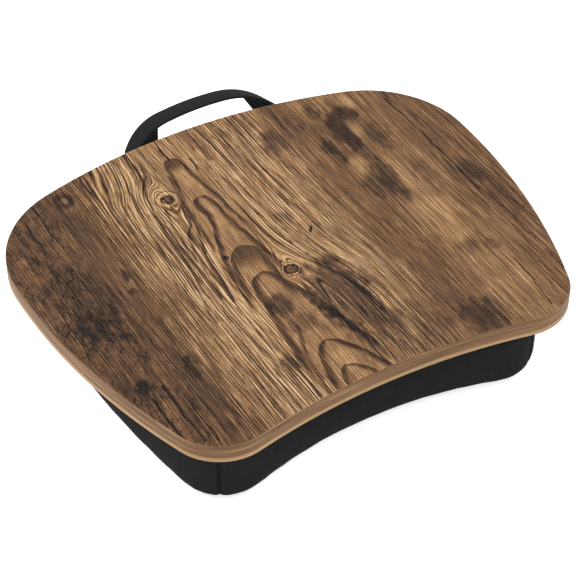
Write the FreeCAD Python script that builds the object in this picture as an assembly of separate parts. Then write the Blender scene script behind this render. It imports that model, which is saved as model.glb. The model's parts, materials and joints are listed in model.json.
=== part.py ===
import FreeCAD, Part
import math
import os

Vector = FreeCAD.Vector

# Lap desk: a wood-print board on a fabric cushion, with a fabric carry handle at the rear edge.
# All sizes are in millimetres. X runs to the right, Y to the rear and Z up.
# The origin is on the floor, under the middle of the board.

# Board outline
board_width = 450.0
board_depth = 372.0
side_radius = 598.0
widest_place = 245.0
rear_radius = 531.0
rear_corner_radius = 100.0
front_corner_radius = 48.0
front_hollow = 15.0

# Board layers, and the band that covers their edge
core_thickness = 16.4
laminate_thickness = 0.8
backing_thickness = 0.8
band_thickness = 2.0
band_top_bevel = 0.6
band_bottom_bevel = 1.0

# Cushion outline, set back from the edge of the board
cushion_offset = -12.0
cushion_side_inset = 37.5
cushion_front_inset = 5.0
cushion_rear_inset = 12.0
cushion_widest_place = 217.0
cushion_side_radius = 866.0
cushion_rear_radius = 520.0
cushion_rear_corner_radius = 95.0
cushion_front_corner_radius = 42.0
cushion_front_hollow = 19.0

# Cushion walls: drawn in at half height, and rolled under at the floor
cushion_height = 52.0
wall_draw = 2.2
edge_roll = 18.0
floor_flat = 0.5
level_height_shares = (1.0, 0.64, 0.29, 0.12, 0.029)
level_draw_shares = (0.0, 1.0, 1.0, 1.0, 1.0)
level_roll_shares = (0.0, 0.0, 0.0, 0.19, 0.564)
cloth_thickness = 1.2
bottom_seam_height = 3.5
seam_turn = 63.0
seam_fin_depth = 8.0
seam_fin_thickness = 2.4
seam_fin_end_gap = 8.0
fit_gap = 0.3

# Staples that hold the cushion to the board
staple_count = 14
staple_inset = 15.0
staple_length = 10.0
staple_wire = 1.0
staple_bite = 6.0

# Handle: a strap that arches up behind the rear edge, to the right of the middle, and leans back
handle_offset = 24.5
handle_rise = 13.3
handle_lean = 16.0
strap_width = 25.0
strap_thickness = 3.0
strap_edge_bevel = 0.9
strap_top_radius = 284.0
left_top_span = 40.5
left_shoulder_radius = 50.0
left_shoulder_turn = 56.0
right_top_span = 22.5
right_shoulder_radius = 76.0
right_shoulder_turn = 41.5
webbing_width = 20.0
webbing_thickness = 1.6

# Handle roots: the ends of the strap, turned down to the seam under the board
root_thickness = 2.4
root_edge_gap = 1.0
root_inner_place = 54.5
root_outer_place = 79.5
left_root_lean = 7.0
right_root_lean = 19.0

# Handle tabs and their screws
tab_length = 54.0
tab_side_gap = 1.0
screw_count = 2
screw_spacing = 11.0
screw_end_distance = 8.0
screw_radius = 1.5
screw_bite = 12.0
screw_head_radius = 3.4
screw_head_height = 2.0
washer_radius = 5.0
washer_thickness = 0.8

# One overrun serves all cuts
overrun = 5.0

board_thickness = core_thickness + laminate_thickness + backing_thickness
board_bottom = cushion_height
board_top = board_bottom + board_thickness
rear_edge = board_depth / 2
hinge_y = rear_edge + root_edge_gap + root_thickness / 2
hinge_z = board_bottom - root_thickness / 2
handle_top = board_top + handle_rise

BOARD = {
    "offset": 0.0,
    "half_width": board_width / 2,
    "front": -board_depth / 2,
    "rear": rear_edge,
    "side_radius": side_radius,
    "widest": widest_place - board_depth / 2,
    "rear_radius": rear_radius,
    "rear_corner": rear_corner_radius,
    "front_corner": front_corner_radius,
    "hollow": front_hollow,
}

CUSHION = {
    "offset": cushion_offset,
    "half_width": board_width / 2 - cushion_side_inset,
    "front": cushion_front_inset - board_depth / 2,
    "rear": rear_edge - cushion_rear_inset,
    "side_radius": cushion_side_radius,
    "widest": cushion_widest_place - board_depth / 2,
    "rear_radius": cushion_rear_radius,
    "rear_corner": cushion_rear_corner_radius,
    "front_corner": cushion_front_corner_radius,
    "hollow": cushion_front_hollow,
}

SHOULDERS = {
    -1: (left_top_span, left_shoulder_radius, left_shoulder_turn),
    1: (right_top_span, right_shoulder_radius, right_shoulder_turn),
}


def save(node, solids):
    """Write one sub-part; several solids go into one compound."""
    shape = solids[0] if len(solids) == 1 else Part.makeCompound(solids)
    shape.exportStep("parts/" + node + ".step")


def circle_crossing(first, first_radius, second, second_radius):
    """Crossing of two circles on the side of larger X."""
    across = second.sub(first)
    distance = across.Length
    along = (first_radius**2 - second_radius**2 + distance**2) / (2 * distance)
    height = math.sqrt(first_radius**2 - along**2)
    step = Vector(across).normalize()
    side = Vector(-step.y, step.x, 0)
    crossings = [first + step * along + side * height, first + step * along - side * height]
    return max(crossings, key=lambda point: point.x)


def outline_centres(form):
    """Centres of the arcs of the right half, so that each arc runs smoothly into the next."""
    side = Vector(form["half_width"] - form["side_radius"], form["widest"], 0)
    rear = Vector(0, form["rear"] - form["rear_radius"], 0)
    reach = form["side_radius"] - form["rear_corner"]
    rear_corner = circle_crossing(side, reach, rear, form["rear_radius"] - form["rear_corner"])
    reach = form["side_radius"] - form["front_corner"]
    corner_y = form["front"] + form["front_corner"]
    corner_x = side.x + math.sqrt(reach**2 - (side.y - corner_y) ** 2)
    front_corner = Vector(corner_x, corner_y, 0)
    hollow = form["hollow"]
    front_radius = (corner_x**2 / hollow + hollow) / 2 - form["front_corner"]
    front = Vector(0, form["front"] + hollow - front_radius, 0)
    return front, front_radius, front_corner, side, rear_corner, rear


def on_circle(centre, radius, toward):
    """Point of a circle in the direction of another point."""
    return centre + (toward - centre).normalize() * radius


def mirrored(point):
    return Vector(-point.x, point.y, point.z)


def arc_middle(centre, radius, start, end):
    return on_circle(centre, radius, (start + end) * 0.5)


def outline(form, inset, height):
    """Closed outline of eight tangent arcs, moved inward by inset."""
    front, front_radius, front_corner, side, rear_corner, rear = outline_centres(form)
    front_arc = front_radius + inset
    corner_arc = form["front_corner"] - inset
    side_arc = form["side_radius"] - inset
    rear_corner_arc = form["rear_corner"] - inset
    rear_arc = form["rear_radius"] - inset
    front_end = on_circle(front, front_arc, front_corner)
    side_start = side + (front_corner - side).normalize() * side_arc
    side_end = side + (rear_corner - side).normalize() * side_arc
    rear_start = rear + (rear_corner - rear).normalize() * rear_arc
    runs = [
        (front_end, arc_middle(front_corner, corner_arc, front_end, side_start), side_start),
        (side_start, arc_middle(side, side_arc, side_start, side_end), side_end),
        (side_end, arc_middle(rear_corner, rear_corner_arc, side_end, rear_start), rear_start),
    ]
    back = [(mirrored(end), mirrored(middle), mirrored(start)) for start, middle, end in runs]
    front_middle = front + Vector(0, front_arc, 0)
    rear_middle = rear + Vector(0, rear_arc, 0)
    runs = [(mirrored(front_end), front_middle, front_end)] + runs
    runs = runs + [(rear_start, rear_middle, mirrored(rear_start))] + back[::-1]
    wire = Part.Wire([Part.Arc(*run).toShape() for run in runs])
    wire.translate(Vector(form["offset"], 0, height))
    return wire


def slab(form, inset, bottom, thickness):
    """Flat plate with the outline of a form."""
    return Part.Face(outline(form, inset, bottom)).extrude(Vector(0, 0, thickness))


def box_between(low, high):
    size = high - low
    return Part.makeBox(size.x, size.y, size.z, low)


def cushion_body(skin):
    """Cushion form with its drawn-in walls and rolled lower edge; skin moves every face inward."""
    top = cushion_height - skin
    wires = []
    for height, draw, roll in zip(level_height_shares, level_draw_shares, level_roll_shares):
        inset = skin + draw * wall_draw + roll * edge_roll
        level = skin + height * (top - skin)
        wires.append(outline(CUSHION, inset, level))
    wires.append(outline(CUSHION, skin + wall_draw + edge_roll, skin - floor_flat))
    body = Part.makeLoft(wires, True, True)
    reach = board_width
    under = box_between(Vector(-reach, -reach, skin - overrun), Vector(reach, reach, skin))
    return body.cut(under)


def front_wedge(seam_gap):
    """Region in front of the two corner seams, each cut square to the wall."""
    corner = outline_centres(CUSHION)[2]
    turn = math.radians(seam_turn)
    reach = cushion_front_corner_radius + overrun
    tip = corner + Vector(math.cos(turn), -math.sin(turn), 0) * reach
    step = Vector(seam_gap, 0, 0)
    points = [mirrored(corner - step), mirrored(tip - step), tip - step, corner - step]
    points = [point - Vector(0, 0, overrun) for point in points]
    face = Part.Face(Part.makePolygon(points + points[:1]))
    face.translate(Vector(cushion_offset, 0, 0))
    return face.extrude(Vector(0, 0, cushion_height + 2 * overrun))


def seam_fin(side, clearance):
    """Space of the turned-in cloth behind a front corner seam; side is 1 at the right, -1 at the left."""
    corner = outline_centres(CUSHION)[2]
    inner = cushion_front_corner_radius - cloth_thickness - wall_draw - seam_fin_depth
    half = seam_fin_thickness / 2 + clearance
    low = Vector(inner - clearance, -half, bottom_seam_height + seam_fin_end_gap)
    high = Vector(cushion_front_corner_radius, half, cushion_height - cloth_thickness - seam_fin_end_gap)
    fin = box_between(low, high)
    fin.rotate(Vector(0, 0, 0), Vector(0, 0, 1), -seam_turn)
    fin.translate(corner)
    if side < 0:
        fin = fin.mirror(Vector(0, 0, 0), Vector(1, 0, 0))
    fin.translate(Vector(cushion_offset, 0, 0))
    return fin


def root_span(side):
    """Left and right X of a handle root; side is 1 at the right and -1 at the left."""
    ends = [handle_offset + side * root_inner_place, handle_offset + side * root_outer_place]
    return min(ends), max(ends)


def tab_box(side, margin, depth):
    """Space of a tab under the board, wider by margin and reaching down by depth."""
    left, right = root_span(side)
    rear = hinge_y - root_thickness / 2 - fit_gap
    low = Vector(left - margin, rear - tab_length - margin, board_bottom - depth)
    high = Vector(right + margin, rear, board_bottom)
    return box_between(low, high)


def screw_places():
    """Centres of the tab screws on the underside of the board."""
    places = []
    front = hinge_y - root_thickness / 2 - fit_gap - tab_length
    for side in (-1, 1):
        left, right = root_span(side)
        for index in range(screw_count):
            y = front + screw_end_distance + index * screw_spacing
            places.append(Vector((left + right) / 2, y, board_bottom))
    return places


def screw(place):
    """Cylinder-head screw, driven up through the tab into the board."""
    head_top = place - Vector(0, 0, root_thickness + washer_thickness)
    shank_length = root_thickness + washer_thickness + screw_bite
    shank = Part.makeCylinder(screw_radius, shank_length, head_top)
    head = Part.makeCylinder(screw_head_radius, screw_head_height, head_top, Vector(0, 0, -1))
    return shank.fuse(head).removeSplitter()


def washer(place):
    top = place - Vector(0, 0, root_thickness)
    disc = Part.makeCylinder(washer_radius, washer_thickness, top, Vector(0, 0, -1))
    return disc.cut(Part.makeCylinder(screw_radius, washer_thickness, top, Vector(0, 0, -1)))


def beside_tab(point, side):
    """True where a staple would run into a handle tab."""
    left, right = root_span(side)
    return point.y > 0 and left - staple_length < point.x < right + staple_length


def staple_frames():
    """Place and direction of each staple, evenly along the cushion's outline, with none at the tabs."""
    route = outline(CUSHION, staple_inset, board_bottom - cloth_thickness)
    points = route.discretize(Number=staple_count + 1)[:-1]
    frames = []
    for index, point in enumerate(points):
        if any(beside_tab(point, side) for side in (-1, 1)):
            continue
        ahead = points[(index + 1) % staple_count]
        behind = points[index - 1]
        frames.append((point, math.degrees(math.atan2(ahead.y - behind.y, ahead.x - behind.x))))
    return frames


def staple(place, turn):
    """Wire staple: a crown under the cloth and two legs up into the board."""
    half = staple_length / 2
    wire = staple_wire / 2
    body = box_between(Vector(-half, -wire, -staple_wire), Vector(half, wire, 0))
    rise = cloth_thickness + staple_bite
    for end in (-half, half - staple_wire):
        leg = box_between(Vector(end, -wire, 0), Vector(end + staple_wire, wire, rise))
        body = body.fuse(leg)
    body = body.removeSplitter()
    body.rotate(Vector(0, 0, 0), Vector(0, 0, 1), turn)
    body.translate(place)
    return body


def shoulder_points(side, depth):
    """Start, middle and end of a shoulder arc and the foot of the straight leg that goes on from it."""
    span, radius, turn = SHOULDERS[side]
    start_turn = math.asin(span / strap_top_radius)
    end_turn = math.radians(turn)

    def away(angle):
        return Vector(side * math.sin(angle), 0, math.cos(angle))

    top = Vector(handle_offset, 0, handle_top - strap_top_radius)
    centre = top + away(start_turn) * (strap_top_radius - radius)
    turns = (start_turn, (start_turn + end_turn) / 2, end_turn)
    start, middle, end = [centre + away(angle) * (radius - depth) for angle in turns]
    leg = (end.z - board_bottom) / math.sin(end_turn)
    foot = end + Vector(side * math.cos(end_turn), 0, -math.sin(end_turn)) * leg
    return start, middle, end, foot


def strap_curve(depth):
    """Arch from the left foot to the right one, moved inward by depth."""
    left_start, left_middle, left_end, left_foot = shoulder_points(-1, depth)
    right_start, right_middle, right_end, right_foot = shoulder_points(1, depth)
    crest = Vector(handle_offset, 0, handle_top - depth)
    return [
        Part.makeLine(left_foot, left_end),
        Part.Arc(left_end, left_middle, left_start).toShape(),
        Part.Arc(left_start, crest, right_start).toShape(),
        Part.Arc(right_start, right_middle, right_end).toShape(),
        Part.makeLine(right_end, right_foot),
    ]


def strap_feet(depth):
    return [shoulder_points(side, depth)[3] for side in (-1, 1)]


def strap_piece(outer_depth, inner_depth, width):
    """Piece of the upright arch between two depths, with its width along Y and its feet cut level."""
    ends = [Part.makeLine(*pair) for pair in zip(strap_feet(outer_depth), strap_feet(inner_depth))]
    edges = strap_curve(outer_depth) + ends + strap_curve(inner_depth)
    face = Part.Face(Part.Wire(Part.__sortEdges__(edges)))
    face.translate(Vector(0, rear_edge + root_edge_gap + (strap_width - width) / 2, 0))
    return face.extrude(Vector(0, width, 0))


def long_edges(strap):
    """Edges that run along the arch, at its front and rear faces."""
    chosen = []
    for edge in strap.Edges:
        box = edge.BoundBox
        if box.YLength < fit_gap and box.ZMax > board_bottom + fit_gap:
            chosen.append(edge)
    return chosen


def leaned(shape):
    """Shape turned back about the fold line, from upright to the lean of the handle."""
    shape.rotate(Vector(0, hinge_y, hinge_z), Vector(1, 0, 0), -handle_lean)
    return shape


def under_arch():
    """Space below the upright strap, in the plane of the folded roots."""
    outer_left, outer_right = strap_feet(0)
    inner_left, inner_right = strap_feet(strap_thickness)
    drop = Vector(0, 0, hinge_z - board_bottom)
    corners = [inner_left, outer_left, outer_left + drop, outer_right + drop, outer_right, inner_right]
    sides = [Part.makeLine(*pair) for pair in zip(corners, corners[1:])]
    face = Part.Face(Part.Wire(Part.__sortEdges__(strap_curve(strap_thickness) + sides)))
    face.translate(Vector(0, rear_edge + root_edge_gap, 0))
    return face.extrude(Vector(0, root_thickness, 0))


def handle_root(side):
    """End of the strap, folded down from the arch to its fold line under the board's edge."""
    inner = handle_offset + side * root_inner_place
    outer = handle_offset + side * root_outer_place
    lean = side * (right_root_lean if side > 0 else left_root_lean)
    rows = [(inner, hinge_z), (outer, hinge_z), (outer, handle_top), (inner - lean, handle_top)]
    points = [Vector(x, rear_edge + root_edge_gap, z) for x, z in rows]
    face = Part.Face(Part.makePolygon(points + points[:1]))
    plate = face.extrude(Vector(0, root_thickness, 0)).common(under_arch())
    left = Vector(min(inner, outer), hinge_y, hinge_z)
    roll = Part.makeCylinder(root_thickness / 2, abs(outer - inner), left, Vector(1, 0, 0))
    return leaned(plate.fuse(roll).removeSplitter())


def make_board():
    staples = [staple(place, turn) for place, turn in staple_frames()]
    screws = [screw(place) for place in screw_places()]
    bores = Part.makeCompound(staples + screws)
    core_bottom = board_bottom + backing_thickness
    core = slab(BOARD, band_thickness, core_bottom, core_thickness).cut(bores)
    backing = slab(BOARD, band_thickness, board_bottom, backing_thickness).cut(bores)
    laminate = slab(BOARD, band_thickness, core_bottom + core_thickness, laminate_thickness)
    save("core_board", core.Solids)
    save("backing_sheet", backing.Solids)
    save("top_laminate", laminate.Solids)
    save("cover_staples", staples)
    save("tab_screws", screws)
    save("screw_washers", [washer(place) for place in screw_places()])


def make_edge_band():
    outer = slab(BOARD, 0, board_bottom, board_thickness)
    top_rim = [edge for edge in outer.Edges if edge.BoundBox.ZMin > board_top - fit_gap]
    outer = outer.makeChamfer(band_top_bevel, top_rim)
    bottom_rim = [edge for edge in outer.Edges if edge.BoundBox.ZMax < board_bottom + fit_gap]
    outer = outer.makeChamfer(band_bottom_bevel, bottom_rim)
    inner = slab(BOARD, band_thickness, board_bottom - overrun, board_thickness + 2 * overrun)
    save("edge_band", outer.cut(inner).Solids)


def make_cushion():
    outer = cushion_body(0)
    inner = cushion_body(cloth_thickness)
    cloth = outer.cut(inner)
    reach = board_width
    top_cloth = cushion_height - cloth_thickness
    above = box_between(Vector(-reach, -reach, top_cloth), Vector(reach, reach, cushion_height + overrun))
    below = box_between(Vector(-reach, -reach, -overrun), Vector(reach, reach, bottom_seam_height))
    staples = Part.makeCompound([staple(place, turn) for place, turn in staple_frames()])
    tabs = Part.makeCompound([tab_box(side, fit_gap, root_thickness + fit_gap) for side in (-1, 1)])
    walls = cloth.cut(above).cut(below).cut(tabs)
    wedge = front_wedge(0)
    save("cover_top", outer.common(above).cut(tabs).cut(staples).Solids)
    save("cover_bottom", cloth.common(below).Solids)
    save("cover_front_wall", walls.common(wedge).Solids)
    save("cover_side_wall", walls.cut(wedge).Solids)
    recess_depth = root_thickness + washer_thickness + screw_head_height + fit_gap
    recesses = [tab_box(side, tab_side_gap, recess_depth) for side in (-1, 1)]
    slots = [seam_fin(side, fit_gap) for side in (-1, 1)]
    filling = cushion_body(cloth_thickness + fit_gap)
    foam = filling.cut(Part.makeCompound(recesses)).cut(Part.makeCompound(slots)).cut(staples)
    save("foam_pad", foam.Solids)
    save("left_seam_allowance", seam_fin(-1, 0).common(inner).Solids)
    save("right_seam_allowance", seam_fin(1, 0).common(inner).Solids)


def make_handle():
    strap = strap_piece(0, strap_thickness, strap_width)
    strap = strap.makeChamfer(strap_edge_bevel, long_edges(strap))
    margin = (strap_thickness - webbing_thickness) / 2
    webbing = strap_piece(margin, margin + webbing_thickness, webbing_width)
    save("handle_sleeve", leaned(strap.cut(webbing)).Solids)
    save("handle_webbing", leaned(webbing).Solids)
    save("handle_left_root", handle_root(-1).Solids)
    save("handle_right_root", handle_root(1).Solids)
    screws = Part.makeCompound([screw(place) for place in screw_places()])
    save("handle_left_tab", tab_box(-1, 0, root_thickness).cut(screws).Solids)
    save("handle_right_tab", tab_box(1, 0, root_thickness).cut(screws).Solids)


os.makedirs("parts", exist_ok=True)
make_board()
make_edge_band()
make_cushion()
make_handle()
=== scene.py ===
import json
import math

import bmesh
import bpy
import numpy as np
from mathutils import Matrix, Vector
from mathutils.noise import fractal


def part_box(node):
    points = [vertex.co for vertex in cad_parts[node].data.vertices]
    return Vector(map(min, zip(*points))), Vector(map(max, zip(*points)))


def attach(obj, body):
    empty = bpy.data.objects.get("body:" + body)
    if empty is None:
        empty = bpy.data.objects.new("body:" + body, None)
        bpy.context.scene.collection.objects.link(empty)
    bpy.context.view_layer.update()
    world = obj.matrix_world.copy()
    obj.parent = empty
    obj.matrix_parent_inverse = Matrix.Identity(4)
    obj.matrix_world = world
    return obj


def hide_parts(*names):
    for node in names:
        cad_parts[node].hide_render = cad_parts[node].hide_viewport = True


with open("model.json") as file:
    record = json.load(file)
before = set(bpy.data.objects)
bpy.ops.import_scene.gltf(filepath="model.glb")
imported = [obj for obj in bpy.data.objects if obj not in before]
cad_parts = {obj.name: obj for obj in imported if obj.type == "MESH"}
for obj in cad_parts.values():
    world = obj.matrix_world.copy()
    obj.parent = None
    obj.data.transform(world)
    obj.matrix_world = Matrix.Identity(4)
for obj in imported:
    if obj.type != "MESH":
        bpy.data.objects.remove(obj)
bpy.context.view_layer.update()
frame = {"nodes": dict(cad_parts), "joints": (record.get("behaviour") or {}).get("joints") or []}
NODES = frame["nodes"]
MM = 0.001

# Camera of the photograph: place over the middle of the board's top in metres, and direction back to it
CAMERA_OVER_TOP = (-0.6195, -1.0769, 1.0904)
CAMERA_BACK = (-0.3674, -0.6379, 0.6768)
CAMERA_LENS_MM = 119.87
SENSOR_MM = 36.0

# Board, read from the frame, in mm
BOARD_LOW, BOARD_HIGH = (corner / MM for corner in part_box("edge_band"))

# Cushion: its walls and rolled lower edge, the levels of its rings and how it swells, in mm
CUSHION_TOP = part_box("cover_top")[1].z / MM
CUSHION_SLACK = -0.6
CUSHION_CAP = 3.4
CUSHION_VOXEL = 5.0
CUSHION_GAP = 0.1
WALL_DRAW = 0.6
ROLL_INSET = 11.0
ROLL_HEIGHT = 10.0
RING_HEIGHTS = (0.0, 0.6, 1.8, 3.6, 6.0, 9.0, 15.0, 21.0, 27.0, 33.0, 39.0, 45.0, CUSHION_TOP - 0.4)
RIM_STEP = 4.0
RIM_INSET = 9.5
WELD_REACH = 0.01
LEVEL_REACH = 0.02
CURVE_PARTS = 12
SIM_BASE = 2.0
SIM_TOP = 4.0
SIM_PRESSURE = 6.0
SIM_FRAMES = 20

# Faint unevenness of the cloth: height in mm, waves per metre, and the noise's fall, gain and layers
CLOTH_RIPPLE = 0.5
RIPPLE_WAVES = 22.0
RIPPLE_NOISE = (1.0, 2.0, 3)

# Corner seams of the cushion, in mm and degrees; the dark thread in each seam also serves as painted shade
# along the seam's groove
SEAM_TURN = 63.0
SEAM_SHIFT = 4.0
SEAM_DEPTH = 3.0
SEAM_WIDTH = 1.3
SEAM_REACH = 9.0
SEAM_PULL = 0.5
SEAM_SPREAD = 3
SEAM_BOTTOM = 3.0
SEAM_TOP_GAP = 1.5
SEAM_FREE_TOP = 1.0
THREAD_RADIUS = 0.45
THREAD_PROUD = 0.1
THREAD_SIDES = 8
THREAD_STATIONS = 26
THREAD_SEARCH = 40.0

# Dents that the handle's tabs press into the cushion, in mm
TAB_DENT = 6.6
TAB_MARGIN = 3.0

# Handle: arch of the strap in its own upright plane, in mm and degrees
HINGE = Vector(frame["joints"][0]["pos_m"]) / MM
HANDLE_RISE = 13.3
HANDLE_LEAN = 16.0
STRAP_HALF_WIDTH = 12.5
STRAP_THICKNESS = 3.0
STRAP_TOP_RADIUS = 284.0
STRAP_CROWN = 0.35
STRAP_SIDES = 48
STRAP_RIM_POWERS = (0.32, 0.55)
ARCH_STATIONS = 16

# Each half of the arch, left and right: half span of the crown, shoulder radius and final turn
SHOULDERS = {-1: (40.5, 50.0, 56.0), 1: (22.5, 76.0, 41.5)}

# Roots and turns of the handle, in mm and degrees
ROOT_THICKNESS = 2.4
TURN_THICKNESS = 1.6
TURN_LIFT = 1.2
FOOT_CORNERS = {-1: 6.0, 1: 13.0}
ROOT_OUTER_PLACE = 79.5
ROOT_INNER_PLACE = 54.5
ROOT_LEANS = {-1: 7.0, 1: 21.0}
ROOT_RISE = BOARD_HIGH.z + HANDLE_RISE - HINGE.z
ROOT_CURVE = 1.5
ROOT_DROP = 1.0
ROOT_SEAT_SHARE = 0.8
ROOT_STATIONS = 40
ROOT_COLUMNS = 14
ROOT_ROWS = 8
TURN_POINTS = 10
TAB_POINTS = (8, 16)
SHEET_RIM_SHARE = 0.3
SHEET_RIM_PARTS = 3

# Middle of a noise's range, and the standard curve from screen colours to linear light
NOISE_MIDDLE = 0.5
SCREEN_KNEE = 0.04045
SCREEN_SLOPE = 12.92
SCREEN_OFFSET = 0.055
SCREEN_POWER = 2.4


class Graph:
    """Adds shader nodes to a tree. Every value may be a number, a tuple or another node's socket."""

    def __init__(self, tree):
        self.tree = tree

    def add(self, kind, settings=None, values=None, output=0):
        node = self.tree.nodes.new(kind)
        for name, value in (settings or {}).items():
            setattr(node, name, value)
        for name, value in (values or {}).items():
            socket = node.inputs[name]
            if isinstance(value, bpy.types.NodeSocket):
                self.tree.links.new(value, socket)
            else:
                socket.default_value = value
        return node.outputs[output]

    def math(self, operation, *values, clamp=False):
        settings = {"operation": operation, "use_clamp": clamp}
        return self.add("ShaderNodeMath", settings, dict(enumerate(values)))

    def sum(self, first, *rest):
        for value in rest:
            first = self.math("ADD", first, value)
        return first

    def times(self, first, *rest):
        for value in rest:
            first = self.math("MULTIPLY", first, value)
        return first

    def minus(self, first, second):
        return self.math("SUBTRACT", first, second)

    def most(self, first, *rest):
        for value in rest:
            first = self.math("MAXIMUM", first, value)
        return first

    def step(self, value, low, high, out_high=1.0):
        """Smooth step of value from low to high, from zero up to out_high."""
        values = {"Value": value, 1: low, 2: high, 3: 0.0, 4: out_high}
        return self.add("ShaderNodeMapRange", {"interpolation_type": "SMOOTHSTEP"}, values)

    def fade(self, value, places, size=1.0, high=1.0):
        """Smooth step between two places, which are shares of a size, up to a high value."""
        return self.step(value, places[0] * size, places[1] * size, out_high=high)

    def clamped(self, value):
        return self.math("ADD", value, 0.0, clamp=True)

    def mix(self, share, first, second):
        values = {0: share, 2: first, 3: second}
        return self.add("ShaderNodeMix", {"data_type": "FLOAT", "clamp_factor": True}, values)

    def mix_color(self, share, first, second):
        settings = {"data_type": "RGBA", "clamp_factor": True}
        return self.add("ShaderNodeMix", settings, {0: share, 6: first, 7: second}, output=2)

    def curve(self, value, points):
        """Smooth curve through points of place and result, held beyond its ends."""
        places = [place for place, _ in points]
        results = [result for _, result in points]
        base = min(results)
        reach = max(results) - base
        if not reach:
            return base
        share = self.add("ShaderNodeMapRange", values={"Value": value, 1: places[0], 2: places[-1]})
        node = self.tree.nodes.new("ShaderNodeFloatCurve")
        line = node.mapping.curves[0]
        line.points[0].location = (0.0, (results[0] - base) / reach)
        line.points[-1].location = (1.0, (results[-1] - base) / reach)
        for place, result in points[1:-1]:
            line.points.new((place - places[0]) / (places[-1] - places[0]), (result - base) / reach)
        node.mapping.update()
        self.tree.links.new(share, node.inputs["Value"])
        return self.math("MULTIPLY_ADD", node.outputs[0], reach, base)

    def vector(self, x, y, z=0.0):
        return self.add("ShaderNodeCombineXYZ", values={0: x, 1: y, 2: z})

    def place(self):
        """X, Y and Z of the shaded point in millimetres, in the object's frame."""
        point = self.add("ShaderNodeTexCoord", output=3)
        return self.split(self.add("ShaderNodeVectorMath", {"operation": "SCALE"}, {0: point, 3: 1 / MM}))

    def split(self, vector):
        node = self.tree.nodes.new("ShaderNodeSeparateXYZ")
        self.tree.links.new(vector, node.inputs[0])
        return list(node.outputs)

    def group(self, tree):
        node = self.tree.nodes.new("ShaderNodeGroup")
        node.node_tree = tree
        return node

    def noise(self, vector, scale=1.0, detail=2.0, roughness=0.5, distortion=0.0, dimensions="3D"):
        """Noise around zero, from about -0.5 to 0.5."""
        values = {
            "Vector": vector,
            "Scale": scale,
            "Detail": detail,
            "Roughness": roughness,
            "Distortion": distortion,
        }
        value = self.add("ShaderNodeTexNoise", {"noise_dimensions": dimensions}, values)
        return self.minus(value, NOISE_MIDDLE)

    def grain_noise(self, x, y, across, along, detail=2.0, roughness=0.5):
        """Flat noise whose features are 1/across mm wide and 1/along mm long."""
        vector = self.vector(self.times(x, across), self.times(y, along))
        return self.noise(vector, detail=detail, roughness=roughness, dimensions="2D")

    def ramp(self, value, stops):
        """Colour ramp; each stop is a place and a screen colour from 0 to 255."""
        node = self.tree.nodes.new("ShaderNodeValToRGB")
        ramp = node.color_ramp
        while len(ramp.elements) < len(stops):
            ramp.elements.new(1.0)
        for element, (place, color) in zip(ramp.elements, stops):
            element.position = place
            element.color = (*linear(color), 1.0)
        self.tree.links.new(value, node.inputs[0])
        return node.outputs[0]

    def bump(self, height, strength, distance_mm):
        values = {"Strength": strength, "Distance": distance_mm * MM, "Height": height}
        return self.add("ShaderNodeBump", values=values)


def linear(color):
    """Linear values of a screen colour from 0 to 255."""
    values = []
    for channel in color:
        share = channel / 255
        curved = ((share + SCREEN_OFFSET) / (1 + SCREEN_OFFSET)) ** SCREEN_POWER
        values.append(share / SCREEN_SLOPE if share <= SCREEN_KNEE else curved)
    return tuple(values)


def new_material(name, roughness, gloss):
    """Material with a plain shader; returns the material, its graph and the shader node."""
    material = bpy.data.materials.new(name)
    material.use_nodes = True
    tree = material.node_tree
    shader = next(node for node in tree.nodes if node.type == "BSDF_PRINCIPLED")
    shader.inputs["Roughness"].default_value = roughness
    shader.inputs["Specular IOR Level"].default_value = gloss
    return material, Graph(tree), shader


def paint(node, material):
    """Gives a carried-over piece a finished material."""
    slots = NODES[node].material_slots
    if not slots:
        NODES[node].data.materials.append(material)
    for slot in slots:
        slot.material = material


# Wood print: browns from dark to light, as a share of the print's tone
WOOD_STOPS = (
    (0.00, (22, 17, 14)),
    (0.16, (54, 38, 27)),
    (0.34, (86, 62, 43)),
    (0.52, (118, 86, 59)),
    (0.70, (152, 115, 79)),
    (0.86, (184, 146, 104)),
    (1.00, (218, 184, 140)),
)
GREY_STOPS = (
    (0.00, (22, 19, 17)),
    (0.34, (82, 64, 50)),
    (0.70, (148, 121, 93)),
    (1.00, (210, 186, 152)),
)

# Tone of the planks across the board, and strength of their fine streaks: X in mm and value
PLANK_TONES = (
    (-225, 0.37), (-172, 0.36), (-158, 0.37), (-143, 0.39), (-126, 0.49), (-104, 0.61),
    (-82, 0.69), (-60, 0.68), (-20, 0.66), (0, 0.70), (22, 0.66), (50, 0.61), (68, 0.54),
    (98, 0.46), (110, 0.51), (150, 0.56), (170, 0.52), (186, 0.45), (225, 0.45),
)
STREAK_STRENGTHS = (
    (-225, 0.42), (-165, 0.45), (-148, 0.52), (-130, 0.7), (-110, 0.95), (-90, 1.1),
    (-70, 1.1), (-55, 0.75), (-20, 0.65), (10, 0.85), (30, 0.9), (55, 0.85),
    (72, 0.62), (100, 0.5), (160, 0.5), (190, 0.58), (225, 0.58),
)

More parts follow.
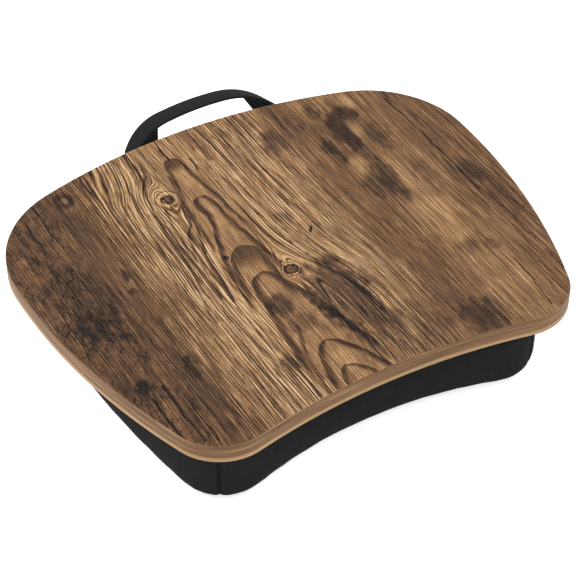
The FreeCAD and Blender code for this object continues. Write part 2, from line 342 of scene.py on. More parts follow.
# Arches of the figure: Y of the tip, line width and depth of the dark filling in mm, darkness of the line,
# run of the axis as (Y, X), and half width by depth below the tip
ARCHES = (
    (154, 1.8, 22, 0.40,
     ((60, -37), (100, -36.5), (130, -35.5), (154, -35)),
     ((0, 0), (1.5, 5), (8, 7), (24, 8.5), (45, 12.5), (70, 16.5), (150, 22))),
    (93.5, 2.6, 0, 0.46,
     ((0, -39.5), (26, -38), (42, -36.5), (62, -34.5), (82, -36), (93.5, -37)),
     ((0, 0), (2, 5), (12, 7.7), (31, 8), (51, 11), (68, 15), (82, 18), (140, 24))),
    (18.5, 3, 34, 0.38,
     ((-60, -46), (-14, -41), (6, -38), (18.5, -36)),
     ((0, 0), (3, 6), (12, 12), (24, 14.5), (50, 17.5), (90, 20))),
    (-21.5, 3.6, 0, 0.46,
     ((-170, -30), (-94, -33), (-56, -36), (-36, -39), (-21.5, -37)),
     ((0, 0), (3, 7), (14, 12.5), (34, 17.5), (52, 21.5), (72, 25), (150, 36))),
    (-119, 2.8, 0, 0.44,
     ((-180, -26), (-154, -28), (-134, -31), (-119, -32)),
     ((0, 0), (3, 7), (10, 11.5), (22, 17), (36, 22), (60, 27))),
    (-151, 2.6, 0, 0.42,
     ((-185, -27), (-164, -29.5), (-151, -33)),
     ((0, 0), (3, 5), (10, 10), (20, 13.5), (34, 16))),
)

# Lines of the grain: darkness, half width in mm and run as (Y, X)
LINES = (
    (0.46, 1.7, ((40, -85), (62, -84), (86, -82), (104, -79), (116, -77), (132, -71),
                 (150, -67.6), (186, -67))),
    (0.35, 1.1, ((-60, -88), (0, -86.5), (40, -85), (50, -84.6))),
    (0.32, 0.9, ((-40, -97), (30, -92), (70, -91.6), (100, -90), (124, -87), (150, -83),
                 (184, -81))),
    (0.35, 0.9, ((-30, -81.5), (30, -80.4), (66, -80), (92, -78))),
    (0.38, 1, ((20, -77.5), (46, -76), (66, -74), (82, -73), (92, -70))),
    (0.41, 1.3, ((-16, -75), (18, -74), (38, -72), (52, -68), (64, -60), (78, -57),
                 (90, -56), (98, -50), (112, -49), (130, -47))),
    (0.41, 1.4, ((-40, -74), (-10, -71), (18, -68), (38, -63), (54, -58), (70, -53.4),
                 (86, -53))),
    (0.22, 1, ((146, -53.4), (186, -53.6))),
    (0.19, 0.7, ((118, -54), (140, -58), (184, -62))),
    (0.24, 2, ((156, -8), (186, -8.4))),
    (0.27, 2.6, ((136, -2), (160, -2.6), (186, -4))),
    (0.38, 0.7, ((108, 12.8), (130, 10.2), (150, 9.4), (186, 6))),
    (0.30, 0.8, ((138, 28), (156, 26), (184, 23))),
    (0.32, 0.9, ((-110, 27), (-66, 22), (-38, 11), (-10, -2), (16, -8), (34, -11),
                 (70, -11.6), (104, -12))),
    (0.30, 0.8, ((-80, 27), (-40, 15), (-10, 5), (14, 1), (34, -2), (70, -2.6), (104, -4))),
    (0.27, 0.7, ((34, 5), (60, 4.6), (96, 4))),
    (0.24, 1, ((46, 28), (84, 26.5), (116, 25))),
    (0.22, 0.9, ((40, 34.5), (116, 34))),
    (0.30, 1.8, ((-176, -60), (-140, -56), (-116, -51), (-94, -43))),
    (0.30, 1, ((-170, -68), (-120, -67), (-70, -66), (-30, -64))),
    (0.27, 0.9, ((-176, -75), (-110, -75.5), (-50, -76))),
)

# Knots: place, radius of the heart and radius of the pale ring round it, in mm
KNOTS = (
    (-62.4, 104.4, 6.6, 11),
    (-13.4, -29.6, 6.2, 8.5),
    (-54.4, 10.6, 2.7, 4.5),
)

# Soft patches: place, half width and half length in mm, change of tone and share of grey
PATCHES = (
    (9, -78, 24, 46, -0.44, 0.6),
    (20, -118, 14, 34, -0.16, 0.5),
    (26, -146, 44, 36, -0.12, 0.3),
    (-42, -64, 11, 15, -0.36, 0.6),
    (-38, -90, 13, 12, -0.20, 0.3),
    (-20, -104, 10, 10, -0.12, 0.3),
    (-72, -130, 7, 14, -0.18, 0.4),
    (14, 28, 7, 12, -0.20, 0.5),
    (58, 128, 13, 18, -0.18, 0.7),
    (46, 168, 12, 14, -0.10, 0.4),
    (82, 152, 12, 40, -0.10, 0.2),
    (122, 108, 9, 28, -0.38, 0.4),
    (128, 110, 34, 44, -0.10, 0.3),
    (136, 132, 14, 12, -0.26, 0.3),
    (112, 150, 9, 12, -0.16, 0.2),
    (101, 92, 6, 22, -0.22, 0.4),
    (148, 92, 9, 24, -0.16, 0.3),
    (124, 34, 8, 34, -0.28, 0.4),
    (110, 26, 11, 22, -0.20, 0.3),
    (156, 24, 8, 20, -0.14, 0.4),
    (154, -88, 8, 7, -0.14, 0.2),
    (133, -82, 12, 10, -0.10, 0.2),
    (98, -158, 20, 22, -0.20, 0.4),
    (84, -110, 12, 40, -0.07, 0.3),
    (194, 4, 9, 22, -0.20, 0.4),
    (196, -46, 9, 26, -0.10, 0.2),
    (178, 10, 5, 24, -0.14, 0.2),
    (-143, 147, 9, 11, -0.26, 0.5),
    (-150, 110, 6, 40, -0.08, 0.3),
    (-139, 32, 3.5, 8, -0.30, 0.5),
    (-142, 12, 4, 4.5, -0.22, 0.4),
    (-141.4, -82, 3.6, 5, -0.42, 0.9),
    (-141, -94, 6, 14, -0.20, 0.6),
    (-186, 20, 24, 50, -0.12, 0.4),
    (-188, -20, 18, 30, -0.12, 0.5),
    (-184, -94, 8, 9, -0.24, 0.5),
    (-146, -110, 12, 60, -0.07, 0.4),
    (134, -36, 20, 34, 0.15, 0),
    (142, -120, 22, 36, 0.06, 0),
    (110, 60, 9, 14, 0.16, 0),
    (136, 34, 6, 30, 0.16, 0),
    (134, 106, 8, 10, 0.12, 0),
    (105, 158, 4, 26, 0.18, 0),
    (149, 146, 7, 14, 0.16, 0),
    (-143, 147, 3.6, 5, 0.34, 0),
    (-72, -66, 12, 26, 0.10, 0),
    (-36, 125, 9, 14, 0.10, 0),
    (-36, 66, 6, 18, 0.06, 0),
    (-30, -144, 13, 14, 0.10, 0),
    (-178, -130, 6, 16, 0.10, 0),
)

# Cracks: half width in mm and run as (Y, X)
CRACKS = (
    (2.2, ((5, 26), (7, 27.5), (9, 29))),
    (1, ((-20, 185.5), (40, 185), (90, 184.4), (132, 183))),
    (0.6, ((-100, 190), (-60, 188.5), (-20, 187.5))),
    (0.6, ((-174, 154), (-140, 157), (-112, 160))),
    (0.6, ((-76, 205), (-48, 203), (-36, 198), (-22, 197))),
    (0.8, ((92, -170), (120, -170.5), (158, -171))),
    (0.9, ((104, -184), (116, -185.5), (134, -185))),
    (0.9, ((82, -196), (90, -197), (94, -200), (99, -206))),
    (1, ((-160, -183), (-136, -185), (-110, -184))),
    (0.9, ((-168, -171), (-130, -171), (-100, -171.5))),
    (0.8, ((-172, -160), (-140, -161), (-116, -160))),
    (0.9, ((168, -35), (188, -35))),
    (1.3, ((154, -35.5), (160, -36), (168, -36))),
    (1.1, ((129, -19), (137, -18), (145, -19.5))),
    (0.6, ((124, -7.4), (131, -7.8))),
    (0.6, ((48, -2.6), (60, -2.6))),
)

# What each layer of the wood print gets
LAYER_INPUTS = ("X", "Y", "Wobble", "Blotch")

# Noises of the print: features per mm across and along, detail and roughness. Over the board: wobble, blotch,
# cloud and speckle. Along the grain: fine, broad, thread and breaks
BOARD_NOISES = ((0.07, 0.04, 3.0), (0.16, 0.07, 5.0, 0.68), (0.022, 0.009, 3.0, 0.6), (0.9, 0.6, 3.0, 0.8))
GRAIN_NOISES = ((0.7, 0.016, 3.0, 0.75), (0.17, 0.006, 2.0, 0.6), (0.24, 0.008, 1.0), (0.2, 0.03, 3.0, 0.6))
SLOW_NOISE = (0.02, 0.008)
SLOW_DRIFT = 5.0

# Streaks: pitch of the embossed rows in mm, how far noise bends them, where rows and threads break off,
# and the share of each in the streaks
ROW_PITCH = 2.35
ROW_BEND = 6.0
ROW_BREAKS = (-0.12, 0.12)
THREAD_FADE = (0.035, 0.004)
THREAD_BREAKS = (0.12, -0.06)
FINE_SHARE = 2.3
BROAD_SHARE = 0.42
ROW_SHARE = 0.3
THREAD_SHARE = 0.26

# Tone: the most that patches darken it, ragged rims of the planks in mm, and the share of each part
DARKEST_PATCH = -0.36
PLANK_RAGGED = 12.0
ROUGH_PLANK_RAGGED = 40.0
ROUGH_PLANK_EDGE = (-152.0, -172.0)
CLOUD_SHARE = 0.18
BLOTCH_SHARE = 0.26
ROUGH_BLOTCH_SHARE = 0.3
SPECKLE_SHARE = 0.55
BARK_SHARE = 0.26
KNOT_SHARE = 0.5
CRACK_SHARE = 0.7
GREY_SHARE = 0.5
PATCH_CALM = 1.2
FIGURE_STREAKS = 0.55
SPECKLE_HEIGHT = 0.7
WOOD_BUMP = (0.5, 0.5)
WOOD_ROUGHNESS = 0.6
WOOD_GLOSS = 0.12

# Sideways run of the grain, left and right of the figure: Y and shift in mm, and where it sets in and ends
SWERVES = (
    (((-190, 0), (-40, -1), (20, 2), (80, 5), (110, 9), (150, 19), (190, 21)), (-128, -84), (-44, -64)),
    (((-190, 26), (-110, 25), (-66, 21), (-30, 11), (5, 3), (60, 0), (190, -4)), (-16, 6), (96, 34)),
)

# Arches: how far noise moves their tips, axes and sides in mm, and how their ends, lines and fillings fade,
# in mm or as shares of depth or width
ARCH_WOBBLE = 4.0
ARCH_SWAY = 4.5
ARCH_RAGGED = 1.5
ARCH_TIP = (-1.5, 0.5)
ARCH_BODY = (0.4, -1.2)
ARCH_TAIL_FADE = (1.0, 0.7)
ARCH_OUTER_FADE = (0.9, 0.25)
ARCH_INNER_FADE = (-2.2, -0.2)
ARCH_FILL_FADE = (1.0, 0.3)
ARCH_FILL_DARK = 0.9

# Lines and cracks: how far noise moves them, and how their sides and ends fade
LINE_WOBBLE = 4.0
LINE_RAGGED = 1.2
LINE_END = 5.0
LINE_LEFT_FADE = (-2.0, -0.3)
LINE_RIGHT_FADE = (1.1, 0.4)
CRACK_WOBBLE = 6.0
CRACK_END = 3.0
CRACK_FADE = (1.0, 0.3)

# Knots: how the grain parts round them, how ragged they are, and the place, fade and darkness of their rim,
# core, body and rings, as shares of the radius of the heart or the ring
KNOT_SQUASH = 0.42
KNOT_SOFTNESS = 0.35
KNOT_WOBBLE_SHARE = 0.9
KNOT_RAGGED_SHARE = 0.5
KNOT_RIM_PLACE = 0.8
KNOT_RIM_FADE = (0.34, 0.08)
KNOT_CORE_FADE = (0.55, 0.1)
KNOT_CORE_DARK = 0.85
KNOT_BODY_FADE = (1.05, 0.8)
KNOT_BODY_DARK = 0.6
KNOT_RING_FADE = (0.16, 0.0)
KNOT_RING_DARK = 0.4
KNOT_PALE_PLACE = 0.8
KNOT_PALE_FADE = (0.18, 0.0)
KNOT_PALE_LIGHT = 0.3

# Soft patches: how ragged their rims are and how they fade
PATCH_RAGGED = 2.0
PATCH_WOBBLE = 1.8
PATCH_FADE = (1.6, 0.2)

# Bark cracks of the rough plank: noises, cells per mm and how far they bend, and fades
BARK_BEND_NOISE = (0.12, 0.09, 3.0)
BARK_PLACE_NOISE = (0.05, 0.03, 3.0, 0.65)
BARK_CELLS = (0.2, 0.085)
BARK_BENDS = (1.5, 1.3)
BARK_CRACK_FADE = (0.09, 0.02)
BARK_PLACE_FADE = (-0.06, 0.06)

# Edge band: brown streaks above, a paler tan below, which is partly print and partly a painted reflection of
# the white floor on the band's lower part; tones and streaks above and below, heights in mm
BAND_STOPS = (
    (0.0, (84, 60, 42)),
    (0.35, (122, 90, 62)),
    (0.6, (152, 118, 84)),
    (0.8, (186, 150, 108)),
    (1.0, (216, 182, 140)),
)
# Height and softness of the paler lower strip: tan print and a painted reflection of the floor
BAND_TAN_AND_REFLECTION_HEIGHT = 5.0
BAND_TAN_AND_REFLECTION_SOFT = 2.0
BAND_RAGGED = 3.0
BAND_STREAK_SCALES = (0.012, 0.012, 0.55)
BAND_STREAK_NOISE = {"detail": 3.0, "roughness": 0.62, "distortion": 0.3}
BAND_SHADE_SCALES = (0.02, 0.02, 0.1)
BAND_TONES = (0.44, 0.84)
BAND_STREAKS = (1.4, 0.4)
BAND_SHADE_SHARE = 0.25
BAND_RIM_FADE = (0.8, 0.95)
BAND_BUMP = (0.25, 0.2)
BAND_ROUGHNESS = 0.5
BAND_GLOSS = 0.15

# Cloth: light and dark colour of the ribs, direction across them and their spacing in mm
CLOTHS = {
    "cover_cloth": ((50, 52, 51), (12, 12, 12), (0.6, 0.35, 0.7), 1.5),
    "strap_cloth": ((46, 49, 48), (10, 11, 11), (0.5, 0.8, 0.3), 2.1),
}
TWILL_BEND_SCALE = 0.05
TWILL_BEND = 2.0
TWILL_TONE = 0.45
RIB_SHARE = 0.34
YARN_NOISE = {"scale": 1.4, "detail": 3.0, "roughness": 0.7}
YARN_SHARE = 1.3
YARN_HEIGHT = 1.2
CLOTH_BUMP = (0.7, 0.2)
CLOTH_ROUGHNESS = 0.9
CLOTH_GLOSS = 0.1

# Plain finishes: colour, roughness and share of metal, and their mottle
FINISHES = {
    # Seam thread: darker than the cloth, and it also serves as painted shade in the seam's groove
    "seam_thread_and_shade": ((20, 20, 20), 0.9, 0.0),
    "foam": ((224, 218, 190), 0.9, 0.0),
    "staple_wire": ((190, 190, 190), 0.35, 1.0),
    "screw_steel": ((180, 182, 184), 0.3, 1.0),
    "core_fibreboard": ((176, 140, 100), 0.8, 0.0),
    "backing_paper": ((112, 80, 56), 0.6, 0.0),
}
PLAIN_GLOSS = 0.5
MOTTLE_NOISE = {"scale": 0.6, "detail": 3.0}
MOTTLE_DARK_SHARE = 0.8
MOTTLE_STOPS = (0.2, 0.8)

# Finish of each carried-over piece that isn't wood print
PAINTED = {
    "cover_cloth": (
        "cover_top", "cover_front_wall", "cover_side_wall", "cover_bottom", "left_seam_allowance",
        "right_seam_allowance",
    ),
    "strap_cloth": (
        "handle_sleeve", "handle_left_root", "handle_right_root", "handle_left_tab", "handle_right_tab",
        "handle_webbing",
    ),
    "foam": ("foam_pad",),
    "staple_wire": ("cover_staples",),
    "screw_steel": ("tab_screws", "screw_washers"),
    "core_fibreboard": ("core_board",),
    "backing_paper": ("backing_sheet",),
}

# Light: place and size in metres and power in watts of each lamp, and the strength of the room's light
LAMPS = (
    ((-1.2, 0.9, 1.9), 1.4, 26.0),
    ((1.5, -0.6, 2.0), 1.6, 12.0),
)
WORLD_LIGHT = 0.75

# Floor: size and place under the object in metres, shade, glow seen by the camera, and roughness
FLOOR_SIZE = 12.0
FLOOR_DROP = 0.0002
FLOOR_SHADE = 0.86
FLOOR_GLOW = 0.68
FLOOR_ROUGHNESS = 0.9


def layer(name, labels, build):
    """Node group of one layer of the print: it gets the place in mm, a wobble and a blotch."""
    tree = bpy.data.node_groups.new(name, "ShaderNodeTree")
    for label in LAYER_INPUTS:
        tree.interface.new_socket(label, in_out="INPUT", socket_type="NodeSocketFloat")
    for label in labels:
        tree.interface.new_socket(label, in_out="OUTPUT", socket_type="NodeSocketFloat")
    start = tree.nodes.new("NodeGroupInput")
    end = tree.nodes.new("NodeGroupOutput")
    values = build(Graph(tree), *list(start.outputs)[:len(LAYER_INPUTS)])
    for index, value in enumerate(values):
        tree.links.new(value, end.inputs[index])
    return tree


def swerved(graph, x, y):
    """Grain coordinate across the board: it runs round the figure and the knots."""
    shifts = []
    for run, rise, fall in SWERVES:
        shifts.append(graph.times(graph.curve(y, run), graph.fade(x, rise), graph.fade(x, fall)))
    slow = graph.grain_noise(x, y, *SLOW_NOISE)
    grain = graph.minus(graph.sum(x, graph.times(slow, SLOW_DRIFT)), graph.sum(*shifts))
    for knot_x, knot_y, _, swerve in KNOTS:
        across = graph.minus(x, knot_x)
        along = graph.times(graph.minus(y, knot_y), KNOT_SQUASH)
        square = graph.sum(graph.times(across, across), graph.times(along, along))
        square = graph.sum(square, KNOT_SOFTNESS * swerve**2)
        push = graph.math("DIVIDE", graph.times(across, -(swerve**2)), square)
        grain = graph.sum(grain, push)
    return grain


def within(graph, value, run, soft):
    """One between the ends of a run, and zero outside, with soft ends."""
    low = run[0][0]
    high = run[-1][0]
    return graph.times(graph.step(value, low - soft, low), graph.step(value, high + soft, high))


def arch_layer(graph, x, y, wobble, blotch):
    """Darkness of the arches, and how far inside one of them the point lies."""
    dark = 0.0
    inside = 0.0
    for tip, width, fill, strength, axis, halves in ARCHES:
        depth = graph.sum(graph.minus(tip, y), graph.times(wobble, ARCH_WOBBLE))
        centre = graph.sum(graph.curve(y, axis), graph.times(wobble, ARCH_SWAY))
        half = graph.sum(graph.curve(depth, halves), graph.times(blotch, ARCH_RAGGED))
        edge = graph.minus(graph.math("ABSOLUTE", graph.minus(x, centre)), half)
        reach = graph.times(graph.fade(depth, ARCH_TIP), graph.fade(depth, ARCH_TAIL_FADE, halves[-1][0]))
        outer = graph.fade(edge, ARCH_OUTER_FADE, width)
        inner = graph.fade(edge, ARCH_INNER_FADE, width)
        body = graph.times(graph.fade(edge, ARCH_BODY), reach)
        mark = graph.times(outer, inner, reach, strength)
        if fill:
            filled = graph.times(graph.fade(depth, ARCH_FILL_FADE, fill), body, strength * ARCH_FILL_DARK)
            mark = graph.most(mark, filled)
        dark = graph.most(dark, mark)
        inside = graph.most(inside, body)
    return dark, inside


def line_layer(graph, x, y, wobble, blotch):
    """Darkness of the single lines of the grain."""
    dark = 0.0
    shifted = graph.sum(x, graph.times(wobble, LINE_WOBBLE), graph.times(blotch, LINE_RAGGED))
    for strength, width, run in LINES:
        off = graph.minus(shifted, graph.curve(y, run))
        left = graph.fade(off, LINE_LEFT_FADE, width)
        right = graph.fade(off, LINE_RIGHT_FADE, width)
        mark = graph.times(left, right, within(graph, y, run, LINE_END), strength)
        dark = graph.most(dark, mark)
    return (dark,)


def crack_layer(graph, x, y, wobble, blotch):
    """Darkness of the cracks and of the knots: a heart, its rim and a pale ring round it."""

    def near(distance, place, shares, size, dark=1.0):
        off = graph.math("ABSOLUTE", graph.minus(distance, place))
        return graph.fade(off, shares, size, dark)

    cracks = 0.0
    shifted = graph.sum(x, graph.times(wobble, CRACK_WOBBLE))
    for width, run in CRACKS:
        mark = near(shifted, graph.curve(y, run), CRACK_FADE, width)
        cracks = graph.most(cracks, graph.times(mark, within(graph, y, run, CRACK_END)))
    knots = 0.0
    for knot_x, knot_y, heart, halo in KNOTS:
        across = graph.minus(x, knot_x)
        along = graph.minus(y, knot_y)
        distance = graph.math("SQRT", graph.sum(graph.times(across, across), graph.times(along, along)))
        wander = graph.times(wobble, KNOT_WOBBLE_SHARE * heart)
        distance = graph.sum(distance, wander, graph.times(blotch, KNOT_RAGGED_SHARE * heart))
        rim = near(distance, heart * KNOT_RIM_PLACE, KNOT_RIM_FADE, heart)
        core = graph.fade(distance, KNOT_CORE_FADE, heart)
        body = graph.fade(distance, KNOT_BODY_FADE, heart, KNOT_BODY_DARK)
        ring = near(distance, halo, KNOT_RING_FADE, halo, KNOT_RING_DARK)
        pale = near(distance, halo * KNOT_PALE_PLACE, KNOT_PALE_FADE, halo, KNOT_PALE_LIGHT)
        mark = graph.minus(graph.most(rim, graph.times(core, KNOT_CORE_DARK), body, ring), pale)
        knots = graph.sum(knots, mark)
    return cracks, knots


def patch_layer(graph, x, y, wobble, blotch):
    """Change of tone and share of grey of the soft patches; their rims run along the grain."""
    change = 0.0
    grey = 0.0
    ragged = graph.sum(graph.times(blotch, PATCH_RAGGED), graph.times(wobble, PATCH_WOBBLE))
    for patch_x, patch_y, half_width, half_length, tone, share in PATCHES:
        across = graph.math("DIVIDE", graph.minus(x, patch_x), half_width)
        along = graph.math("DIVIDE", graph.minus(y, patch_y), half_length)
        distance = graph.sum(graph.times(across, across), graph.times(along, along), ragged)
        mask = graph.fade(distance, PATCH_FADE)
        change = graph.sum(change, graph.times(mask, tone))
        if share:
            grey = graph.most(grey, graph.times(mask, share))
    return change, grey


def bark_layer(graph, x, y, wobble, blotch):
    """Short cracks and pits of the rough plank at the left."""
    bend = graph.grain_noise(x, y, *BARK_BEND_NOISE)
    vector = graph.vector(
        graph.sum(graph.times(x, BARK_CELLS[0]), graph.times(bend, BARK_BENDS[0])),
        graph.sum(graph.times(y, BARK_CELLS[1]), graph.times(bend, BARK_BENDS[1])),
    )
    settings = {"voronoi_dimensions": "2D", "feature": "DISTANCE_TO_EDGE"}
    edges = graph.add("ShaderNodeTexVoronoi", settings, {"Vector": vector, "Scale": 1.0})
    where = graph.grain_noise(x, y, *BARK_PLACE_NOISE)
    cracks = graph.times(graph.fade(edges, BARK_CRACK_FADE), graph.fade(where, BARK_PLACE_FADE))
    return (cracks,)


def wood_group():
    """Rustic-brown print: a rough dark plank at the left, figured planks and a mottled right side."""
    tree = bpy.data.node_groups.new("wood_print", "ShaderNodeTree")
    tree.interface.new_socket("Color", in_out="OUTPUT", socket_type="NodeSocketColor")
    tree.interface.new_socket("Height", in_out="OUTPUT", socket_type="NodeSocketFloat")
    graph = Graph(tree)
    x, y, _ = graph.place()
    grain = swerved(graph, x, y)

    wobble, blotch, cloud, speckle = (graph.grain_noise(x, y, *numbers) for numbers in BOARD_NOISES)
    fine, broad, thread, breaks = (graph.grain_noise(grain, y, *numbers) for numbers in GRAIN_NOISES)

    rows = graph.sum(graph.times(grain, 2.0 * math.pi / ROW_PITCH), graph.times(broad, ROW_BEND))
    rows = graph.times(graph.math("SINE", rows), graph.fade(breaks, ROW_BREAKS))
    threads = graph.fade(graph.math("ABSOLUTE", thread), THREAD_FADE)
    threads = graph.times(threads, graph.fade(breaks, THREAD_BREAKS))
    streaks = graph.sum(graph.times(fine, FINE_SHARE), graph.times(broad, BROAD_SHARE))
    streaks = graph.sum(streaks, graph.times(rows, ROW_SHARE))
    streaks = graph.minus(streaks, graph.times(threads, THREAD_SHARE))

    layers = {}
    for name, labels, build in (
        ("arches", ("Dark", "Inside"), arch_layer),
        ("lines", ("Dark",), line_layer),
        ("cracks", ("Cracks", "Knots"), crack_layer),
        ("patches", ("Change", "Grey"), patch_layer),
        ("bark", ("Cracks",), bark_layer),
    ):
        node = graph.group(layer(name, labels, build))
        for index, value in enumerate((x, y, wobble, blotch)):
            tree.links.new(value, node.inputs[index])
        layers[name] = list(node.outputs)
    arches, inside = layers["arches"]
    cracks, knots = layers["cracks"]
    change, grey = layers["patches"]
    rough_plank = graph.fade(graph.sum(x, graph.times(blotch, ROUGH_PLANK_RAGGED)), ROUGH_PLANK_EDGE)
    bark = graph.times(layers["bark"][0], rough_plank)

    strength = graph.curve(x, STREAK_STRENGTHS)
    tone = graph.curve(graph.sum(x, graph.times(blotch, PLANK_RAGGED)), PLANK_TONES)
    change = graph.most(change, DARKEST_PATCH)
    tone = graph.sum(tone, graph.times(cloud, CLOUD_SHARE), graph.times(blotch, BLOTCH_SHARE), change)
    figured = graph.mix(graph.most(inside, graph.times(change, -PATCH_CALM)), 1.0, FIGURE_STREAKS)
    tone = graph.sum(tone, graph.times(streaks, strength, figured), graph.times(speckle, SPECKLE_SHARE))
    pits = graph.sum(graph.times(bark, BARK_SHARE), graph.times(rough_plank, blotch, -ROUGH_BLOTCH_SHARE))
    tone = graph.minus(tone, pits)
    tone = graph.minus(tone, graph.most(arches, layers["lines"][0]))
    tone = graph.minus(tone, graph.sum(graph.times(knots, KNOT_SHARE), graph.times(cracks, CRACK_SHARE)))
    tone = graph.clamped(tone)
    grey = graph.times(grey, GREY_SHARE)
    color = graph.mix_color(grey, graph.ramp(tone, WOOD_STOPS), graph.ramp(tone, GREY_STOPS))

    height = graph.sum(graph.times(streaks, strength), graph.times(speckle, SPECKLE_HEIGHT))
    output = tree.nodes.new("NodeGroupOutput")
    tree.links.new(color, output.inputs["Color"])
    tree.links.new(height, output.inputs["Height"])
    return tree


def wood_print(tree):
    """Satin finish of the board's top."""
    material, graph, shader = new_material("wood_print", WOOD_ROUGHNESS, WOOD_GLOSS)
    node = graph.group(tree)
    graph.tree.links.new(node.outputs["Color"], shader.inputs["Base Color"])
    graph.tree.links.new(graph.bump(node.outputs["Height"], *WOOD_BUMP), shader.inputs["Normal"])
    return material


def band_wood(tree):
    """Streaks along the edge, with a paler lower strip that is partly tan print and partly a painted
    reflection of the floor; the print of the top runs on over the band's upper rim.
    """
    material, graph, shader = new_material("band_wood", BAND_ROUGHNESS, BAND_GLOSS)
    place = graph.place()
    vector = graph.vector(*(graph.times(value, scale) for value, scale in zip(place, BAND_STREAK_SCALES)))
    streak = graph.noise(vector, **BAND_STREAK_NOISE)
    vector = graph.vector(*(graph.times(value, scale) for value, scale in zip(place, BAND_SHADE_SCALES)))
    shade = graph.noise(vector)
    height = graph.sum(graph.minus(place[2], BOARD_LOW.z), graph.times(shade, BAND_RAGGED))
    # pale: the lower strip, tan print and a painted reflection of the floor, lighter in tone and with weaker
    # streaks
    pale = graph.step(height, BAND_TAN_AND_REFLECTION_HEIGHT + BAND_TAN_AND_REFLECTION_SOFT, BAND_TAN_AND_REFLECTION_HEIGHT - BAND_TAN_AND_REFLECTION_SOFT)
    tone = graph.mix(pale, *BAND_TONES)
    streaks = graph.times(streak, graph.mix(pale, *BAND_STREAKS))
    tone = graph.sum(tone, streaks, graph.times(shade, BAND_SHADE_SHARE))
    side = graph.ramp(graph.clamped(tone), BAND_STOPS)
    normal = graph.add("ShaderNodeNewGeometry", output=1)
    over = graph.fade(graph.split(normal)[2], BAND_RIM_FADE)
    color = graph.mix_color(over, side, graph.group(tree).outputs["Color"])
    graph.tree.links.new(color, shader.inputs["Base Color"])
    graph.tree.links.new(graph.bump(streak, *BAND_BUMP), shader.inputs["Normal"])
    return material


def twill(name, light, dark, slants, pitch):
    """Woven twill: fine ribs, square to the slants, seen as a bump and as a change of tone."""
    material, graph, shader = new_material(name, CLOTH_ROUGHNESS, CLOTH_GLOSS)
    place = graph.place()
    bend = graph.noise(graph.vector(*place), scale=TWILL_BEND_SCALE)
    diagonal = graph.times(bend, TWILL_BEND)
    for value, slant in zip(place, slants):
        diagonal = graph.sum(diagonal, graph.times(value, slant))
    ribs = graph.math("SINE", graph.times(diagonal, 2.0 * math.pi / pitch))
    grain = graph.noise(graph.vector(*place), **YARN_NOISE)
    tone = graph.sum(TWILL_TONE, graph.times(ribs, RIB_SHARE), graph.times(grain, YARN_SHARE))
    color = graph.ramp(graph.clamped(tone), ((0.0, dark), (1.0, light)))
    graph.tree.links.new(color, shader.inputs["Base Color"])
    height = graph.sum(ribs, graph.times(grain, YARN_HEIGHT))
    graph.tree.links.new(graph.bump(height, *CLOTH_BUMP), shader.inputs["Normal"])
    return material


def plain_material(name, color, roughness, metallic):
    """Finish of the inner pieces: a base colour with a fine mottle."""
    material, graph, shader = new_material(name, roughness, PLAIN_GLOSS)
    mottle = graph.noise(graph.vector(*graph.place()), **MOTTLE_NOISE)
    dark = tuple(channel * MOTTLE_DARK_SHARE for channel in color)
    stops = tuple(zip(MOTTLE_STOPS, (dark, color)))
    mixed = graph.ramp(graph.sum(mottle, NOISE_MIDDLE), stops)
    graph.tree.links.new(mixed, shader.inputs["Base Color"])
    shader.inputs["Metallic"].default_value = metallic
    return material


def new_piece(name, vertices, faces, material):
    """Mesh object from vertices in millimetres."""
    mesh = bpy.data.meshes.new(name)
    mesh.from_pydata([Vector(vertex) * MM for vertex in vertices], [], faces)
    mesh.materials.append(material)
    piece = bpy.data.objects.new(name, mesh)
    bpy.context.scene.collection.objects.link(piece)
    return piece


def ring_faces(levels, count):
    """Faces of a wall through rings of equally many points."""
    faces = []
    for low in range(0, (levels - 1) * count, count):
        for index in range(count):
            ahead = (index + 1) % count
            faces.append((low + index, low + ahead, low + count + ahead, low + count + index))
    return faces


def settle(piece):
    """Replaces a piece's mesh by its modified mesh, with no modifier left."""
    depsgraph = bpy.context.evaluated_depsgraph_get()
    mesh = bpy.data.meshes.new_from_object(piece.evaluated_get(depsgraph))
    piece.modifiers.clear()
    piece.data = mesh


def smooth(piece):
    """Soft shading all over a piece."""
    for face in piece.data.polygons:
        face.use_smooth = True


def rim_loop(node):
    """Outline of a node's highest level face, as points in mm that run round it once."""
    mesh = bmesh.new()
    mesh.from_mesh(NODES[node].data)
    bmesh.ops.remove_doubles(mesh, verts=mesh.verts, dist=WELD_REACH * MM)
    high = max(vertex.co.z for vertex in mesh.verts) - LEVEL_REACH * MM
    level = [face for face in mesh.faces if all(vertex.co.z > high for vertex in face.verts)]
    rim = [edge for edge in mesh.edges if sum(face in level for face in edge.link_faces) == 1]
    loops = []
    while rim:
        edge = rim.pop()
        vertex = edge.verts[0]
        loop = []
        while edge:
            vertex = edge.other_vert(vertex)
            loop.append((vertex.co.x / MM, vertex.co.y / MM))
            edge = next((other for other in vertex.link_edges if other in rim), None)
            if edge:
                rim.remove(edge)
        loops.append(np.array(loop))
    mesh.free()
    return max(loops, key=np.ptp)


def even_loop(loop, step):
    """Closed loop with points a step apart, on a smooth line through the given ones."""
    dense = []
    count = len(loop)
    for index in range(count):
        before, first, second, after = (loop[(index + offset) % count] for offset in (-1, 0, 1, 2))
        for share in np.linspace(0.0, 1.0, CURVE_PARTS, endpoint=False):
            square, cube = share**2, share**3
            point = first * (1 - 3 * square + 2 * cube) + second * (3 * square - 2 * cube)
            point = point + (second - before) / 2 * (share - 2 * square + cube)
            point = point + (after - first) / 2 * (cube - square)
            dense.append(point)
    dense = np.array(dense)
    closed = np.vstack([dense, dense[:1]])
    run = np.concatenate([[0.0], np.cumsum(np.linalg.norm(np.diff(closed, axis=0), axis=1))])
    stops = np.linspace(0.0, run[-1], int(run[-1] / step), endpoint=False)
    return np.column_stack([np.interp(stops, run, closed[:, axis]) for axis in (0, 1)])


